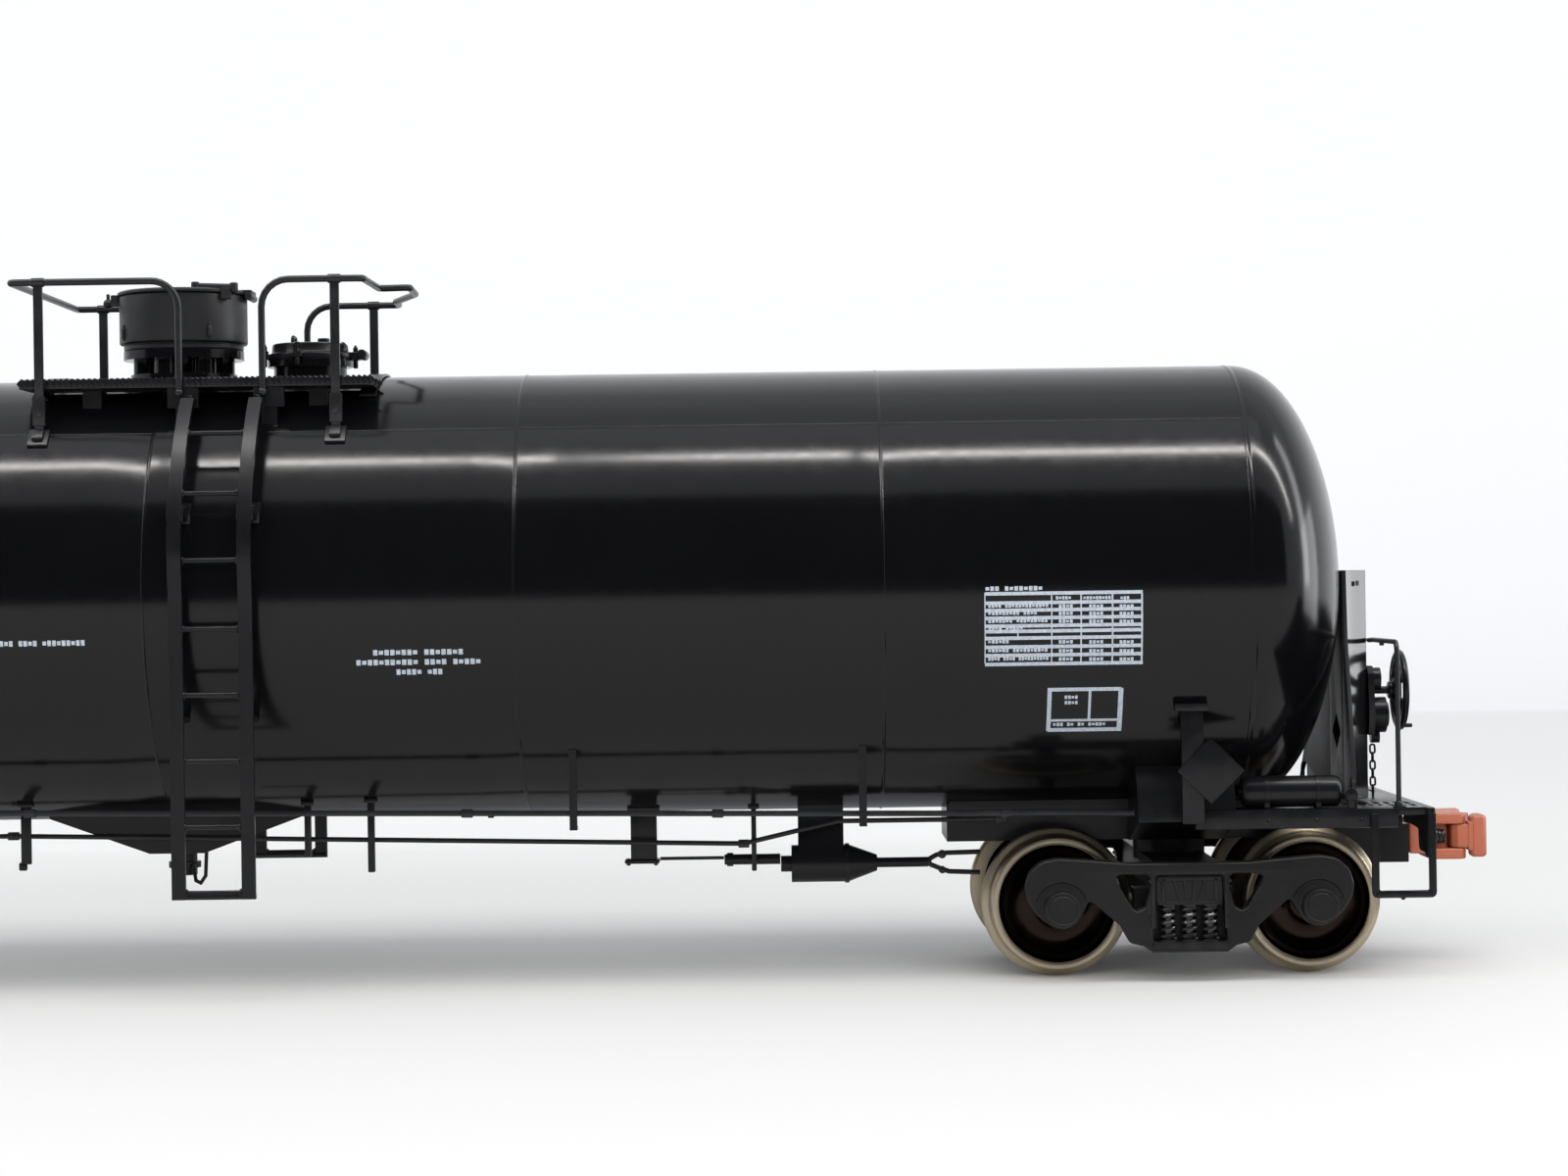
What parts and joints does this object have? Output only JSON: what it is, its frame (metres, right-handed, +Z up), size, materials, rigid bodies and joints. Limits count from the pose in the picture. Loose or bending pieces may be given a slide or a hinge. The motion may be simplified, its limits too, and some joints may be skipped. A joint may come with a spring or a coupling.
{
  "type": "model tank wagon",
  "caption": "Scale model tank wagon with swivelling trucks, rolling wheelsets, sprung knuckle couplers, ladders, walkway, valve bonnet and brake gear.",
  "frame": {"origin": "centre of the wagon's length and width, at the lowest point of the wheel flanges", "axes": "+X along the wagon towards the hand brake end, +Y across, +Z up"},
  "size_m": [0.2108, 0.0388, 0.0564],
  "materials": {
    "tank_black": "satin black paint on moulded plastic",
    "frame_black": "satin black moulded plastic",
    "wire_black": "black painted wire and etched metal",
    "weight_steel": "plain steel bar",
    "screw_steel": "zinc plated",
    "spring_bronze": "bare phosphor bronze",
    "spring_dark": "darkened spring steel",
    "coupler_rust": "rust coloured paint, matte",
    "truck_grey": "dull dark grey moulded plastic",
    "wheel_metal": "polished tread, blackened face",
    "axle_steel": "darkened steel"
  },
  "bodies": {
    "car": {"tank_barrel": "tank_black", "tank_head_a": "tank_black", "tank_head_b": "tank_black", "ballast_weight": "weight_steel", "stub_sills": "frame_black", "end_platforms": "frame_black", "stirrup_steps": "frame_black", "end_handrails": "wire_black", "brake_stand": "frame_black", "brake_gear_housing": "frame_black", "brake_wheel": "wire_black", "brake_chain": "wire_black", "placard_holders": "frame_black", "air_reservoir": "frame_black", "manway_nozzle": "tank_black", "manway_cover": "tank_black", "bonnet_base": "tank_black", "bonnet_drum": "tank_black", "bonnet_lid": "tank_black", "walkway_grating": "wire_black", "walkway_supports": "frame_black", "handrail_left": "wire_black", "handrail_right": "wire_black", "ladder_near": "frame_black", "ladder_far": "frame_black", "outlet_skid": "frame_black", "outlet_valve": "frame_black", "train_pipe": "wire_black", "pipe_straps": "frame_black", "brake_rods": "wire_black", "brake_cylinder": "frame_black", "slack_adjuster": "frame_black", "rod_hangers": "frame_black", "truck_screws": "screw_steel", "coupler_boxes": "frame_black", "box_screws": "screw_steel", "centring_springs": "spring_bronze"},
    "coupler_a": {"coupler_a": "coupler_rust", "knuckle_spring_a": "spring_dark"},
    "coupler_b": {"coupler_b": "coupler_rust", "knuckle_spring_b": "spring_dark"},
    "knuckle_a": {"knuckle_a": "coupler_rust"},
    "knuckle_b": {"knuckle_b": "coupler_rust"},
    "truck_a": {"sideframes_a": "truck_grey", "bolster_a": "truck_grey", "springs_a": "truck_grey", "brake_beams_a": "truck_grey"},
    "truck_b": {"sideframes_b": "truck_grey", "bolster_b": "truck_grey", "springs_b": "truck_grey", "brake_beams_b": "truck_grey"},
    "wheelset_1": {"wheels_1": "wheel_metal", "axle_1": "axle_steel"},
    "wheelset_2": {"wheels_2": "wheel_metal", "axle_2": "axle_steel"},
    "wheelset_3": {"wheels_3": "wheel_metal", "axle_3": "axle_steel"},
    "wheelset_4": {"wheels_4": "wheel_metal", "axle_4": "axle_steel"}
  },
  "joints": [
    {"name": "truck_a_swivel", "type": "hinge", "parent": "car", "child": "truck_a", "pos_m": [-0.08, 0, 0.0098], "axis": [0, 0, 1], "range_deg": [-8, 8]},
    {"name": "truck_b_swivel", "type": "hinge", "parent": "car", "child": "truck_b", "pos_m": [0.08, 0, 0.0098], "axis": [0, 0, 1], "range_deg": [-8, 8]},
    {"name": "wheelset_1_roll", "type": "hinge", "parent": "truck_a", "child": "wheelset_1", "pos_m": [-0.08995, 0, 0.00589], "axis": [0, 1, 0], "continuous": true},
    {"name": "wheelset_2_roll", "type": "hinge", "parent": "truck_a", "child": "wheelset_2", "pos_m": [-0.07005, 0, 0.00589], "axis": [0, 1, 0], "continuous": true},
    {"name": "wheelset_3_roll", "type": "hinge", "parent": "truck_b", "child": "wheelset_3", "pos_m": [0.07005, 0, 0.00589], "axis": [0, 1, 0], "continuous": true},
    {"name": "wheelset_4_roll", "type": "hinge", "parent": "truck_b", "child": "wheelset_4", "pos_m": [0.08995, 0, 0.00589], "axis": [0, 1, 0], "continuous": true},
    {"name": "coupler_a_swing", "type": "hinge", "parent": "car", "child": "coupler_a", "pos_m": [-0.0962, 0, 0.01], "axis": [0, 0, 1], "range_deg": [-8, 8], "stiffness_Nm_per_rad": 0.005},
    {"name": "knuckle_a_open", "type": "hinge", "parent": "coupler_a", "child": "knuckle_a", "pos_m": [-0.10305, 0.002, 0.0102], "axis": [0, 0, 1], "range_deg": [-20, 0], "stiffness_Nm_per_rad": 0.001},
    {"name": "coupler_b_swing", "type": "hinge", "parent": "car", "child": "coupler_b", "pos_m": [0.0962, 0, 0.01], "axis": [0, 0, 1], "range_deg": [-8, 8], "stiffness_Nm_per_rad": 0.005},
    {"name": "knuckle_b_open", "type": "hinge", "parent": "coupler_b", "child": "knuckle_b", "pos_m": [0.10305, -0.002, 0.0102], "axis": [0, 0, 1], "range_deg": [-20, 0], "stiffness_Nm_per_rad": 0.001}
  ]
}
